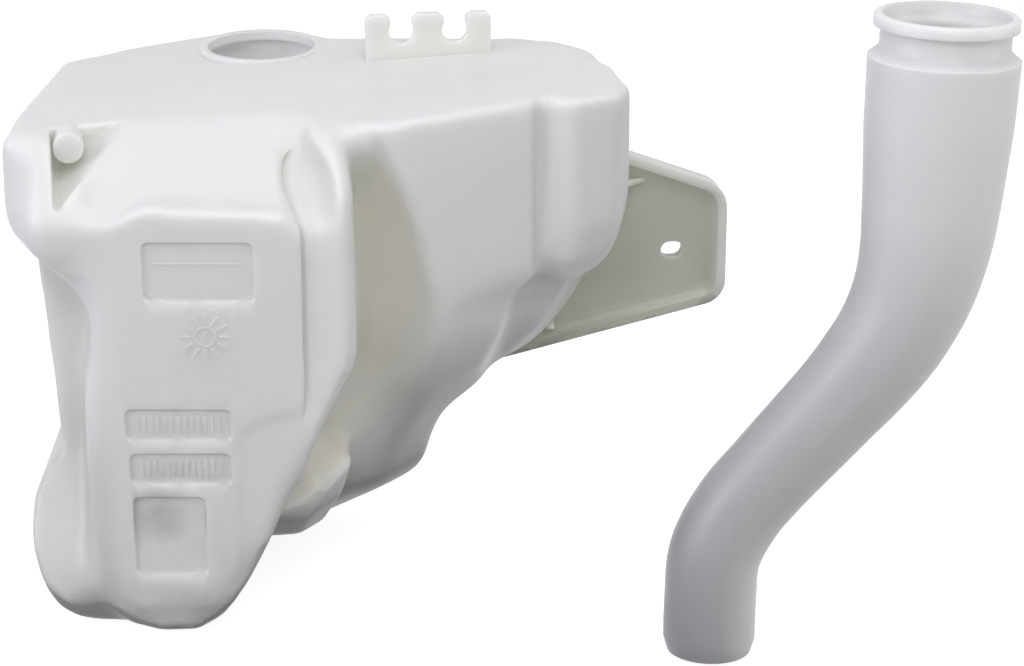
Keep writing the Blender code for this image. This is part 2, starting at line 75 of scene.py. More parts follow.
def add(tree, kind, **settings):
    """New node with its properties set."""
    node = tree.nodes.new(kind)
    for key, value in settings.items():
        setattr(node, key, value)
    return node


def seen_rays(tree):
    """Socket that is 1 for camera, glossy and transmission rays."""
    rays = add(tree, "ShaderNodeLightPath")
    direct = add(tree, "ShaderNodeMath", operation="MAXIMUM")
    seen = add(tree, "ShaderNodeMath", operation="MAXIMUM")
    tree.links.new(rays.outputs["Is Camera Ray"], direct.inputs[0])
    tree.links.new(rays.outputs["Is Glossy Ray"], direct.inputs[1])
    tree.links.new(direct.outputs[0], seen.inputs[0])
    tree.links.new(rays.outputs["Is Transmission Ray"], seen.inputs[1])
    return seen.outputs[0]


def white_paper():
    """Paper that is plain white to the eye and in reflections, and still takes the object's shadow."""
    finish, shader = principled("white_paper")
    tree = finish.node_tree
    shader.inputs["Base Color"].default_value = (0.35, 0.35, 0.36, 1)
    shader.inputs["Roughness"].default_value = 0.9
    glow = add(tree, "ShaderNodeEmission")
    glow.inputs["Color"].default_value = (1, 1, 1, 1)
    glow.inputs["Strength"].default_value = 0.88
    lit = add(tree, "ShaderNodeAddShader")
    blend = add(tree, "ShaderNodeMixShader")
    tree.links.new(glow.outputs[0], lit.inputs[0])
    tree.links.new(shader.outputs[0], lit.inputs[1])
    tree.links.new(seen_rays(tree), blend.inputs[0])
    tree.links.new(shader.outputs[0], blend.inputs[1])
    tree.links.new(lit.outputs[0], blend.inputs[2])
    tree.links.new(blend.outputs[0], tree.nodes["Material Output"].inputs["Surface"])
    return finish


paper_corners = [(-1500, -1400), (1500, -1400), (1500, 1600), (-1500, 1600)]
paper = plain_mesh("paper_floor", [(x, y, FLOOR_HEIGHT) for x, y in paper_corners], [(0, 1, 2, 3)])
paper.data.materials.append(white_paper())

camera = bpy.data.objects.new("camera", bpy.data.cameras.new("camera"))
camera.location = CAMERA_PLACE
camera.rotation_euler = CAMERA_LOOK.to_track_quat("-Z", "Y").to_euler()
camera.data.lens = CAMERA_LENS
camera.data.sensor_width = 36
camera.data.clip_end = 20
bpy.context.scene.collection.objects.link(camera)
bpy.context.scene.camera = camera


def soft_box(name, place, aim, size, watts, colour):
    """Square area lamp that points from one place at another."""
    lamp = bpy.data.lights.new(name, "AREA")
    lamp.size = size
    lamp.energy = watts
    lamp.color = colour
    thing = bpy.data.objects.new(name, lamp)
    thing.location = place
    thing.rotation_euler = (Vector(aim) - Vector(place)).to_track_quat("-Z", "Y").to_euler()
    bpy.context.scene.collection.objects.link(thing)


soft_box("top_box", (-0.10, -0.35, 0.85), (-0.10, -0.03, 0), 0.8, 3.0, (0.93, 0.92, 1.0))
soft_box("left_box", (-1.1, -0.45, 0.45), (-0.2, -0.03, 0), 0.7, 5.0, (0.90, 0.92, 1.0))
soft_box("front_box", (-0.05, -1.3, 0.9), (-0.1, 0, 0.05), 0.8, 4.8, (1.0, 0.975, 0.92))
soft_box("right_box", (1.1, -0.5, 0.35), (0.0, -0.03, 0), 0.7, 2.8, (1.0, 0.99, 0.96))
soft_box("glint_box", (-0.30, -0.9, 0.8), (-0.15, -0.1, 0.05), 0.16, 0.7, (1.0, 1.0, 1.0))

# The room: light from all round that is stronger from above, and plain white to the eye.
world = bpy.data.worlds.new("white_room")
world.use_nodes = True
bpy.context.scene.world = world
room = world.node_tree
facing = add(room, "ShaderNodeTexCoord")
parts_of = add(room, "ShaderNodeSeparateXYZ")
height = add(room, "ShaderNodeMapRange")
height.inputs["From Min"].default_value = -0.3
height.inputs["From Max"].default_value = 0.9
height.inputs["To Min"].default_value = 0.20
height.inputs["To Max"].default_value = 0.50
room_light = room.nodes["Background"]
room_light.inputs["Color"].default_value = (0.97, 0.97, 1.0, 1)
white = add(room, "ShaderNodeBackground")
white.inputs["Color"].default_value = (1, 1, 1, 1)
white.inputs["Strength"].default_value = 1.0
mix = add(room, "ShaderNodeMixShader")
room.links.new(facing.outputs["Generated"], parts_of.inputs[0])
room.links.new(parts_of.outputs["Z"], height.inputs["Value"])
room.links.new(height.outputs["Result"], room_light.inputs["Strength"])
room.links.new(seen_rays(room), mix.inputs[0])
room.links.new(room_light.outputs[0], mix.inputs[1])
room.links.new(white.outputs[0], mix.inputs[2])
room.links.new(mix.outputs[0], room.nodes["World Output"].inputs["Surface"])
bpy.context.scene.view_settings.view_transform = "Standard"


# The tank's blown skin: one parison of milky polyethylene pressed by air into its mould.
# Lofted masses are melted together, so its corners get the round look of blown plastic.
TOP_HEIGHT = 101.0
TOP_MIDDLE_X = -132.0
TOP_FALL = 0.04
HEAD_LEFT = -284.0
PANEL_TOP = 66.0
LEG_LEFT = -255.0
LEG_RIGHT = -147.0
LEG_FRONT = -100.0
LEG_TURN = 0.146
FLOOR = -109.0
BODY_RIGHT = -30.5
PANEL_RIGHT = -72.0
HOLE_X = -174.0
HOLE_Y = 32.0
HOLE_BORE = 46.0
HOLE_LIP_WIDTH = 3.5
MELT_VOXEL = 2.2


def top_z(x):
    """Height of the sloping top face over the point x."""
    return TOP_HEIGHT + TOP_FALL * (x - TOP_MIDDLE_X)


def panel_y(x, depth=0.0):
    """Front plane of the leg, which turns a little to the left; depth goes into the tank."""
    return LEG_FRONT - LEG_TURN * (x - LEG_LEFT) + depth


def spline(values, t):
    """Catmull-Rom value at the share t between the middle two of four points."""
    p0, p1, p2, p3 = values
    return 0.5 * (2 * p1 + (p2 - p0) * t + (2 * p0 - 5 * p1 + 4 * p2 - p3) * t * t
                  + (3 * p1 - p0 - 3 * p2 + p3) * t ** 3)


def bands(bm, loops):
    """Four-sided faces between each loop of points and the next."""
    for below, above in zip(loops, loops[1:]):
        for i in range(len(below)):
            j = (i + 1) % len(below)
            bm.faces.new((below[i], below[j], above[j], above[i]))


def made(name, bm):
    """Object from a finished bmesh, which is used up."""
    mesh = bpy.data.meshes.new(name)
    bm.to_mesh(mesh)
    bm.free()
    thing = bpy.data.objects.new(name, mesh)
    bpy.context.scene.collection.objects.link(thing)
    return thing


def together(name, things):
    """One object from several, which are used up."""
    bm = bmesh.new()
    for thing in things:
        bm.from_mesh(thing.data)
        bpy.data.objects.remove(thing, do_unlink=True)
    return made(name, bm)


def loft(name, rings):
    """Closed solid through rings of points in millimetres, all with the same count."""
    bm = bmesh.new()
    loops = [[bm.verts.new(Vector(point) * MM) for point in ring] for ring in rings]
    bands(bm, loops)
    bm.faces.new(loops[0][::-1])
    bm.faces.new(loops[-1])
    bmesh.ops.recalc_face_normals(bm, faces=bm.faces)
    bmesh.ops.triangulate(bm, faces=bm.faces)
    bmesh.ops.recalc_face_normals(bm, faces=bm.faces)
    return made(name, bm)


def levels(name, sections, steps=4):
    """Loft whose sections are (z, outline) pairs, with a smooth run between them in height."""
    rings = []
    for z, outline in sections:
        rings.append([Vector((x, y, z(x) if callable(z) else z)) for x, y in outline])
    if steps == 1:
        return loft(name, rings)
    padded = [rings[0]] + rings + [rings[-1]]
    smooth = []
    for four in zip(padded, padded[1:], padded[2:], padded[3:]):
        for k in range(steps):
            smooth.append([spline(values, k / steps) for values in zip(*four)])
    return loft(name, smooth + [rings[-1]])


def plate(name, outline, front, back):
    """Outline in X and Z carried along Y; front and back are numbers or functions of x."""
    rings = []
    for y in (front, back):
        rings.append([(x, y(x) if callable(y) else y, z) for x, z in outline])
    return loft(name, rings)


def round_outline(points, radii, steps=10):
    """Round each corner of a closed (x, z) outline with an arc of its own radius."""
    corners = [Vector(point) for point in points]
    result = []
    for i, (corner_point, radius) in enumerate(zip(corners, radii)):
        before = (corners[i - 1] - corner_point).normalized()
        after = (corners[(i + 1) % len(corners)] - corner_point).normalized()
        half = before.angle(after) / 2
        centre = corner_point + (before + after).normalized() * (radius / sin(half))
        start = (corner_point + before * (radius / tan(half)) - centre).normalized()
        end = (corner_point + after * (radius / tan(half)) - centre).normalized()
        for k in range(steps + 1):
            result.append(tuple(centre + start.slerp(end, k / steps) * radius))
    return result


def inset(points, distance):
    """Move the corners of a convex (x, z) outline inwards."""
    corners = [Vector(point) for point in points]
    result = []
    for i, corner_point in enumerate(corners):
        before = (corners[i - 1] - corner_point).normalized()
        after = (corners[(i + 1) % len(corners)] - corner_point).normalized()
        half = before.angle(after) / 2
        result.append(tuple(corner_point + (before + after).normalized() * (distance / sin(half))))
    return result


def round_run(x, z, radius, start, end, steps):
    """Points (x, z) on an arc between two angles in degrees."""
    points = []
    for k in range(steps + 1):
        angle = radians(start + (end - start) * k / steps)
        points.append((x + radius * cos(angle), z + radius * sin(angle)))
    return points


def evaluated(thing):
    """Replace an object's mesh with what its modifiers make of it."""
    graph = bpy.context.evaluated_depsgraph_get()
    mesh = bpy.data.meshes.new_from_object(thing.evaluated_get(graph))
    thing.modifiers.clear()
    thing.data = mesh
    return thing


def soften(thing, passes, zone=None):
    """Smooth a skin; zone gives each vertex (x, y, z in millimetres) a share from 0 to 1."""
    step = thing.modifiers.new("soften", "SMOOTH")
    step.factor = 0.5
    step.iterations = passes
    if zone:
        group = thing.vertex_groups.new(name="zone")
        places = np.empty(len(thing.data.vertices) * 3)
        thing.data.vertices.foreach_get("co", places)
        for i, share in enumerate(zone(*(places.reshape(-1, 3).T / MM))):
            if share > 0.02:
                group.add([i], float(share), "REPLACE")
        step.vertex_group = "zone"
    evaluated(thing)
    thing.vertex_groups.clear()


def ramp(values, low, high):
    """Share that runs smoothly from 0 at low to 1 at high."""
    t = np.clip((values - low) / (high - low), 0, 1)
    return t * t * (3 - 2 * t)


def remesh(thing, voxel):
    """Rebuild a closed surface from small even faces."""
    step = thing.modifiers.new("melt", "REMESH")
    step.mode = "VOXEL"
    step.voxel_size = voxel * MM
    evaluated(thing)


def fuse(name, lumps, voxel, passes):
    """Melt overlapping lumps into one rounded skin."""
    skin = together(name, lumps)
    remesh(skin, voxel)
    soften(skin, passes)
    return skin


def join(target, other, operation):
    """One exact Boolean step; the other solid is used up."""
    step = target.modifiers.new(other.name, "BOOLEAN")
    step.operation = operation
    step.solver = "EXACT"
    step.object = other
    evaluated(target)
    bpy.data.objects.remove(other, do_unlink=True)


hole_edge = HOLE_Y + HOLE_BORE / 2 + HOLE_LIP_WIDTH
back = [(-145, 46), (-160, hole_edge + 3), (HOLE_X - 16, hole_edge + 6), (-223, 53), (-259, 36)]
low_back = [(-145, 36), (-160, 48), (-190, 50), (-222, 42), (-254, 30)]
head = levels("head", [
    (26, [(-254, -66), (-252, -84), (-246, -98), (-166, -110), (-150, -96)] + low_back),
    (37, [(-259, -66), (-257, -89), (-247, -100), (-167, -111), (-150, -96)] + low_back),
    (46, [(-271, -67), (-265, -93), (-248, panel_y(-248)), (-168, panel_y(-168)), (-150, -98)] + low_back),
    (54, [(-280, -68), (-272, -95), (-248, panel_y(-248)), (-168, panel_y(-168)), (-150, -98)] + back),
    (PANEL_TOP, [(HEAD_LEFT, -72), (-273, -97), (-248, panel_y(-248, -1.5)), (-170, panel_y(-170, -1.5)),
                 (-150, -98)] + back),
    (top_z, [(HEAD_LEFT, -72), (-268, -76), (-247, -59), (-178, -66), (-150, -66)] + back),
], 1)

leg_outline = [
    (-251, PANEL_TOP - 4), (-251, 14), (LEG_LEFT, -8), (LEG_LEFT - 1, -80), (LEG_LEFT + 4, -97),
    (-241, -106), (-230, FLOOR), (-215, FLOOR), (-203, -102), (-193, -88), (-186, -75), (-179, -58),
    (-161, -19.5), (LEG_RIGHT - 6, -2), (LEG_RIGHT, 12), (LEG_RIGHT, PANEL_TOP - 4)]
leg = plate("leg", leg_outline, panel_y, -40)

heel = levels("heel", [
    (FLOOR, [(-250, -88), (-215, -96), (-205, -30), (-205, 8), (-246, 8)]),
    (FLOOR + 3, [(-262, -92), (-208, -101), (-195, -30), (-195, 12), (-258, 12)]),
    (FLOOR + 11, [(-272, -94), (-200, -103), (-190, -30), (-190, 16), (-262, 16)]),
    (FLOOR + 22, [(-278, -92), (-200, -100), (-185, -30), (-185, 20), (-265, 20)]),
    (FLOOR + 36, [(-280, -84), (-200, -92), (-185, -30), (-185, 24), (-266, 22)]),
    (FLOOR + 48, [(-279, -74), (-200, -84), (-185, -30), (-185, 26), (-265, 24)]),
    (FLOOR + 57, [(-274, -67), (-200, -76), (-185, -30), (-185, 28), (-263, 26)]),
    (FLOOR + 66, [(-267, -62), (-200, -70), (-180, -30), (-180, 32), (-261, 28)]),
    (FLOOR + 82, [(-267, -60), (-200, -68), (-180, -30), (-180, 34), (-260, 29)]),
    (12, [(-269.5, -60), (-200, -70), (-180, -30), (-180, 40), (-259, 32)]),
    (PANEL_TOP, [(-274, -60), (-200, -70), (-180, -30), (-180, 48), (-258, 36)]),
])

body = levels("body", [
    (-105, [(-205, -42), (-188, -32), (-172, -16), (-156, -5), (-151, 3), (-159, 10), (-205, 14)]),
    (-95, [(-203, -48), (-176, -40), (-159, -27), (-144, -14), (-126, 1), (-133, 10), (-203, 18)]),
    (-84, [(-200, -56), (-162, -48), (-143, -37), (-126, -20), (-111, 1), (-120, 12), (-200, 24)]),
    (-73, [(-200, -60), (-152, -55), (-130, -47), (-114, -30), (-107, 1), (-114, 13), (-200, 28)]),
    (-60, [(-200, -62), (-150, -59), (-128, -51), (-110, -32), (-103, 1), (-110, 13), (-200, 32)]),
    (-47, [(-200, -66), (-148, -61), (-123, -56), (-104, -33), (-91, 1), (-99, 13), (-200, 35)]),
    (-32, [(-200, -72), (-148, -63), (-118, -64), (-89, -38), (-76, 1), (-86, 14), (-200, 38)]),
    (-14, [(-200, -80), (-147, -64), (-116, -78), (-92, -66), (-60, 1), (-72, 14), (-200, 42)]),
    (4, [(-200, -80), (-146, -65), (-112, -88), (-86, -76), (-48, 0), (-60, 14), (-200, 46)]),
    (20, [(-200, -80), (-145, -67), (-111, -92), (-82, -78), (-40, -2), (-52, 14), (-200, 49)]),
    (31, [(-200, -80), (-145, -68), (-113, -93), (PANEL_RIGHT, -79), (-37, -3), (-49, 14), (-200, 51)]),
    (60, [(-200, -80), (-145, -72), (-121, -95), (PANEL_RIGHT, -79), (-35, -4), (-48, 14), (-200, 56)]),
    (88, [(-200, -68), (-146, -84), (-130, -96), (PANEL_RIGHT, -79), (-35, -4), (-48, 15), (-200, 60)]),
    (top_z, [(-200, -35), (-146, -93), (-133, -96), (PANEL_RIGHT, -78), (-35, -4), (-48, 15), (-200, 60)]),
])

shoulder_lobe = levels("shoulder_lobe", [
    (21, [(-66, -58), (-56, -64), (-50, -60), (-46, -48), (-44, -20), (-66, -20)]),
    (32, [(-68, -72), (-56, -78), (-42, -72), (-37, -60), (-35, -14), (-68, -14)]),
    (46, [(-67, -77), (-56, -82), (-36, -76), (BODY_RIGHT - 3, -64), (BODY_RIGHT - 4, -10), (-67, -10)]),
    (60, [(-66, -78), (-57, -83), (-37, -78), (BODY_RIGHT, -66), (BODY_RIGHT - 3, -8), (-66, -8)]),
    (top_z, [(-65, -78), (-57, -83), (-37, -78), (BODY_RIGHT, -66), (BODY_RIGHT - 4, -7), (-65, -7)]),
])

under_lobe = levels("under_lobe", [
    (-29, [(-98, -28), (-86, -30), (-78, -22), (-74, 4), (-98, 4)]),
    (-18, [(-96, -42), (-76, -40), (-63, -27), (-59, 6), (-96, 6)]),
    (0, [(-86, -52), (-63, -50), (-50, -32), (-46, 7), (-86, 7)]),
    (18, [(-78, -56), (-54, -54), (-41, -34), (-37, 8), (-78, 8)]),
    (34, [(-74, -60), (-48, -54), (-37, -34), (-36, 8), (-74, 8)]),
])

tank = fuse("tank_skin", [head, leg, heel, body, shoulder_lobe, under_lobe], MELT_VOXEL, 4)


def valley_zone(x, y, z):
    """The long soft hollow between the pillar and the upper panel, and what lies under it."""
    fold_x = np.interp(z, (0, 24, 60, 88), (-107, -111, -121, -130))
    across = ramp(x, -152, -146) * ramp(x - fold_x, 10, -8)
    return across * ramp(z, 94, 80) * ramp(y, -20, -45)


def underside_zone(x, y, z):
    """The rounded underside and the plain back."""
    below = ramp(x, -205, -190) * ramp(z, 0, -25)
    behind = ramp(y, 5, 20) * ramp(z, 92, 70)
    return np.maximum(below, behind)


def brow_zone(x, y, z):
    """Soft edges of the head and the leg, and the top's far right corner."""
    top_edge = ramp(x, -160, -185) * ramp(z, 90, 97) * ramp(y, -40, -55)
    panel_edge = 0.4 * ramp(x, -172, -180) * ramp(abs(z - PANEL_TOP), 14, 7) * ramp(y, -92, -97)
    left_edge = ramp(x, -240, -246) * ramp(y, -84, -92) * ramp(z, 50, 30) * ramp(z, -100, -85)
    head_corner = ramp(x, -258, -266) * ramp(y, -50, -58) * ramp(z, 56, 66) * ramp(z, 101, 95)
    far_corner = ramp(x, -66, -56) * ramp(z, 62, 72) * ramp(y, -34, -22)
    return np.max((top_edge, panel_edge, left_edge, head_corner, far_corner), axis=0)


soften(tank, 24, valley_zone)
soften(tank, 10, underside_zone)
soften(tank, 40, brow_zone)


# The pressed-in forms of the mould: the screw pocket in the head's corner with its round boss,
# the groove between the two upper panels, and the gutter along the pillar.
POCKET_FLOOR = 77.0
POCKET_WALL = -63.0
HEAD_SLOPE = 1.36
BOSS_DIAMETER = 12.0
BOSS_X = -256.0
BOSS_HEIGHT = 90.2
BOSS_END = -74.5
PILLAR_WIDTH = 18.0
PILLAR_FRONT = -118.5
PAD_RISE = 0.8
FOOT_RIGHT = -147.5
FOOT_RUN = 25.0
STEP_TOP = 90.0
SKIN_VOXEL = 1.5
EDGE_VOXEL = 1.15
SKIN_TRIANGLES = 100000

pillar_left = LEG_RIGHT - PILLAR_WIDTH
pillar_sections = []
for z, shift, right, front in [
        (-44, -8, -174, -109), (-21, -4, -162, -114), (-1, -1, LEG_RIGHT - 5.5, -117),
        (12, -1, LEG_RIGHT, PILLAR_FRONT), (60, 0, LEG_RIGHT, PILLAR_FRONT), (78, 0, LEG_RIGHT, -117),
        (88, 1, LEG_RIGHT - 1, -111), (95, 2, LEG_RIGHT - 2, -102), (99, 3, LEG_RIGHT - 3, -91)]:
    low, middle = pillar_left + shift, (pillar_left + shift + right) / 2
    pillar_sections.append((z, [(low, -60), (low, front + 5), (low + 4, front + 1), (middle, front),
                                (right - 4, front + 1), (right, front + 6), (right, -60)]))
pillar = levels("pillar", pillar_sections)
corner = levels("corner", [
    (40, [(-148, -64), (-141, -66), (-134, -64), (-131, -56), (-148, -56)]),
    (70, [(-149, -78), (-140, -80), (-131, -77), (-129, -60), (-149, -60)]),
    (90, [(-150, -93), (-140, -94), (-130, -89), (-126, -60), (-150, -60)]),
    (top_z, [(-149, -92), (-140, -92), (-130, -88), (-126, -60), (-149, -60)]),
])


def slanted(level, rise):
    """Height that changes by rise for each millimetre left of the foot's right end."""
    return lambda x: level - rise * min(FOOT_RUN, FOOT_RIGHT - x)


foot = levels("foot", [
    (-84, [(-184, -69), (-173, -69), (-164, -56), (-160, -20), (-184, -20)]),
    (-78, [(-186, -83), (-170, -83), (-159, -70), (-157, -20), (-186, -20)]),
    (slanted(-61, 0.35), [(-186, -90), (-166, -90), (-152, -79), (-150, -20), (-186, -20)]),
    (slanted(-47, 0.66), [(-180, -92), (-160, -92), (FOOT_RIGHT, -82), (-146, -20), (-180, -20)]),
    (slanted(-45.5, -0.45), [(-180, -72), (-160, -72), (FOOT_RIGHT, -79), (-146, -20), (-180, -20)]),
], 1)


def slope_y(x, z):
    """Front of the leg, and above it of the head's slope."""
    return panel_y(x) + max(0.0, z - PANEL_TOP) * HEAD_SLOPE


def tapered_bar(name, spots):
    """Eight-sided bar in the XZ plane's direction through (x, y, z, radius) spots."""
    rings = []
    for x, y, z, radius in spots:
        rings.append([(x + radius * 0.5 * cos(k * pi / 4), y + radius * sin(k * pi / 4),
                       z - radius * 0.85 * cos(k * pi / 4)) for k in range(8)])
    return loft(name, rings)


ledge = tapered_bar("ledge", [(x, slope_y(x, z) + 1.4, z, radius) for x, z, radius in [
    (-245, 64, 1.4), (-241, 67.5, 2.3), (-233, 73, 2.6), (-226, 76.5, 2.2), (-220, 78.5, 1.2)]])
pad_corners = [(-244, -98), (-207, -98), (-196, -76), (-196, -22), (-186, -14), (-169, -10), (-172, 71.5),
               (-228, 74), (-243, 67)]
pad_outline = round_outline(pad_corners, [10, 8, 6, 4, 4, 3, 3, 6, 6])
pad = plate("pad", pad_outline, lambda x: panel_y(x, -PAD_RISE), -60)
tank = fuse("tank_skin", [tank, pillar, corner, pad], SKIN_VOXEL, 4)
soften(tank, 14, valley_zone)


def panel_top_zone(x, y, z):
    """Where the head's slope runs into the leg's raised front, away from its crisp left corner."""
    near_top = ramp(abs(z - PANEL_TOP), 15, 8)
    return ramp(x, -232, -214) * ramp(x, -166, -172) * near_top * ramp(y, -88, -92)


soften(tank, 24, panel_top_zone)

deep = [(-263, POCKET_WALL, POCKET_FLOOR), (-231, POCKET_WALL + 5, 98), (-262.5, -97, 69)]
mouth = [(-263, POCKET_WALL, 125), (-231, POCKET_WALL + 5, 125), (-262.5, -130, 101)]
pocket = loft("pocket", [deep, mouth])

groove_sections = []
for z in (-8, 40, TOP_HEIGHT - 4, TOP_HEIGHT + 8):
    groove_sections.append((z, [(PANEL_RIGHT - 0.5, -105), (PANEL_RIGHT, -75.5), (PANEL_RIGHT + 3, -75),
                                (PANEL_RIGHT + 9, -79), (PANEL_RIGHT + 16, -85), (PANEL_RIGHT + 16, -105)]))
groove = levels("groove", groove_sections, 1)

gutter_sections, step_sections = [], []
for z, edge, depth in [
        (-20, -171, -1), (-12, -169.5, 0.4), (0, -168.4, 1.2), (20, -168.6, 1.8), (50, -168.3, 2.2),
        (64, -168.6, 3.5), (70, -170.8, 5.5), (76, -173.4, 7), (82, -173.6, 7), (86, -171.5, 5),
        (89, -168.6, 1), (92, -166, -5), (97, -163.5, -24)]:
    floor_y = panel_y(edge) + max(0.0, z - PANEL_TOP) * HEAD_SLOPE + depth
    flat = 2.0 if z > STEP_TOP else 4.0 if z > PANEL_TOP else 1.0
    flank_y = 0.6 * floor_y + 0.4 * PILLAR_FRONT
    gutter_sections.append((z, [(edge - 0.3, -140), (edge, floor_y), (edge + flat, floor_y),
                                (-160, flank_y), (-152, PILLAR_FRONT - 0.5), (-151, -140)]))
    if z < STEP_TOP:
        step_sections.append((z, [(edge - 0.3, -140), (edge, floor_y + 0.1), (edge + 1, floor_y),
                                  (edge + 5, floor_y - 2.5), (edge + 5.5, -140)]))
gutter = levels("gutter", gutter_sections, 3)
step = levels("step", step_sections, 3)
for cut in (pocket, groove, gutter):
    join(tank, cut, "DIFFERENCE")
tank = fuse("tank_skin", [tank, foot, ledge], EDGE_VOXEL, 2)


def spoon_zone(x, y, z):
    """The gutter's wide upper end and its side along the pillar."""
    spoon = ramp(x, -177, -172) * ramp(x, -142, -147) * ramp(z, 48, 60) * ramp(y, -62, -72)
    side = ramp(x, -166, -160) * ramp(x, -146, -149) * ramp(z, -30, -10) * ramp(y, -104, -108)
    return np.maximum(spoon, side)


def foot_zone(x, y, z):
    """The foot that shows under the leg's right edge."""
    return ramp(x, -198, -190) * ramp(y, -99, -94) * ramp(y, -22, -40) * ramp(z, -36, -44)


soften(tank, 60, spoon_zone)
soften(tank, 30, foot_zone)
join(tank, step, "DIFFERENCE")


def pressed_zone(x, y, z):
    """The pocket's lower end, which runs out softly into the head's slope."""
    return ramp(x, -261, -256) * ramp(x, -222, -228) * ramp(z, 66, 70) * ramp(y, -64, -68)


soften(tank, 10, pressed_zone)
fewer = tank.modifiers.new("fewer", "DECIMATE")
fewer.ratio = SKIN_TRIANGLES / sum(len(face.vertices) - 2 for face in tank.data.polygons)
evaluated(tank)


# The hollow inside: the skin moved in by a little more than the wall, and pushed back where a
# crease of the form would let it through. The corner behind the screw pocket stays filled.
WALL = 2.6
CREASE_SPARE = 1.4
PUSH_SPARE = 0.4
PUSH_TURNS = 3
FIRST_VOXEL = 3.0
CAVITY_VOXEL = 4.5

cavity = bpy.data.objects.new("cavity", tank.data.copy())
bpy.context.scene.collection.objects.link(cavity)
remesh(cavity, FIRST_VOXEL)
soften(cavity, 8)
shrink = cavity.modifiers.new("wall", "DISPLACE")
shrink.strength = -(WALL + CREASE_SPARE) * MM
shrink.mid_level = 0.0
evaluated(cavity)
remesh(cavity, CAVITY_VOXEL)
skin = BVHTree.FromPolygons([vertex.co for vertex in tank.data.vertices],
                            [face.vertices for face in tank.data.polygons])
for vertex in list(cavity.data.vertices) * PUSH_TURNS:
    nearest, outward, _, distance = skin.find_nearest(vertex.co)
    if distance < WALL * MM or (vertex.co - nearest).dot(outward) > 0:
        vertex.co = nearest - outward * (WALL + PUSH_SPARE) * MM
pocket_backing = levels("pocket_backing", [
    (z, [(-290, -130), (-224, -130), (-224, -54), (-290, -54)]) for z in (60, 125)], 1)
join(cavity, pocket_backing, "DIFFERENCE")


# The pocket's boss: a plain round stud that the screw's clip sits on, moulded with the tank.
def round_edges(thing, width, steps=3):
    """Round the sharp edges of a plain solid."""
    edge = thing.modifiers.new("edge", "BEVEL")
    edge.width = width * MM
    edge.segments = steps
    edge.limit_method = "ANGLE"
    edge.angle_limit = radians(40)
    evaluated(thing)
    return thing


boss_outline = round_run(BOSS_X, BOSS_HEIGHT, BOSS_DIAMETER / 2, 0, 352.5, 47)
boss = plate("boss", boss_outline, BOSS_END, POCKET_WALL + 8)
join(tank, round_edges(boss, 0.9), "UNION")


# The mounting ear, pinched flat in the mould on its parting plane, with a bolt slot for one
# screw, a dished face and two small webs. It is the same plastic, two walls thick.
EAR_THICKNESS = 9.0
EAR_DISH = 3.0
EAR_RIM = 4.0
EAR_RIGHT = 23.5
SLOT_X = 0.0
SLOT_HEIGHT = 12.0
SLOT_LENGTH = 9.8
SLOT_WIDTH = 7.6

ear_corners = [(-84, -35.4), (EAR_RIGHT, -10.9), (EAR_RIGHT, 40.5), (-19, 56.6), (-84, 60)]
ear_radii = [3, 11, 14, 5, 3]
ear = round_edges(plate("ear", round_outline(ear_corners, ear_radii), -EAR_THICKNESS, 0.0), 2.4, 5)
dish_rings = []
for depth, reach in ((-1.0, 0.0), (0.0, 0.0), (0.35, 0.27), (0.7, 1.0), (0.9, 1.9), (1.0, 3.2)):
    depth, reach = depth * EAR_DISH, reach * EAR_DISH
    radii = [max(1.0, radius - EAR_RIM - reach) for radius in ear_radii]
    outline = round_outline(inset(ear_corners, EAR_RIM + reach), radii)
    dish_rings.append([(x, depth - EAR_THICKNESS, z) for x, z in outline])
ear_dish = loft("ear_dish", dish_rings)
join(ear, ear_dish, "DIFFERENCE")
upper_gusset = loft("upper_gusset", [[(-36, -22, z), (-36, -4, z), (-9, -4, z)] for z in (43.5, 46.0)])
lower_gusset = loft("lower_gusset", [[(x, -4, -24), (x, -12, -20), (x, -4, -12)] for x in (-56, -52.5)])
join(tank, ear, "UNION")
join(tank, round_edges(upper_gusset, 0.5), "UNION")
join(tank, round_edges(lower_gusset, 0.5), "UNION")


# The hose comb on the same plane: three posts with two round notches that hold washer hoses,
# moulded on the top face from the seam's pinched web.
COMB_LEFT = -132.0
COMB_RIGHT = -79.0
COMB_BASE = 98.0
COMB_TOP = 120.5
COMB_THICKNESS = 4.0
HOSE_NOTCH = 10.6
COMB_NOTCHES = (0.286, 0.712)

notch_radius = HOSE_NOTCH / 2
notch_seat = COMB_TOP - notch_radius - 2.0
mouth_wide, mouth_narrow = notch_radius + 1.5, notch_radius * 0.85
comb_outline = [(COMB_LEFT, COMB_BASE), (COMB_LEFT, COMB_TOP - 2), (COMB_LEFT + 2, COMB_TOP)]
for share in COMB_NOTCHES:
    notch_x = COMB_LEFT + (COMB_RIGHT - COMB_LEFT) * share
    comb_outline += [(notch_x - mouth_wide, COMB_TOP), (notch_x - mouth_narrow, COMB_TOP - 2.0)]
    comb_outline += round_run(notch_x, notch_seat, notch_radius, 150, 390, 14)
    comb_outline += [(notch_x + mouth_narrow, COMB_TOP - 2.0), (notch_x + mouth_wide, COMB_TOP)]
comb_outline += [(COMB_RIGHT - 2, COMB_TOP), (COMB_RIGHT, COMB_TOP - 2), (COMB_RIGHT, COMB_BASE)]
comb = plate("comb", comb_outline, -COMB_THICKNESS / 2, COMB_THICKNESS / 2)
join(tank, round_edges(comb, 0.6), "UNION")


# The filler hole in the top face, with the raised lip that its cutter leaves. The neck's lower
# end goes in here.
HOLE_LIP_RISE = 1.2


def disc(name, radius, height, x, y, z, sides=72):
    """Upright cylinder whose foot is at z."""
    turns = [2 * pi * k / sides for k in range(sides)]
    ring = [(x + radius * cos(turn), y + radius * sin(turn)) for turn in turns]
    return loft(name, [[(px, py, pz) for px, py in ring] for pz in (z, z + height)])


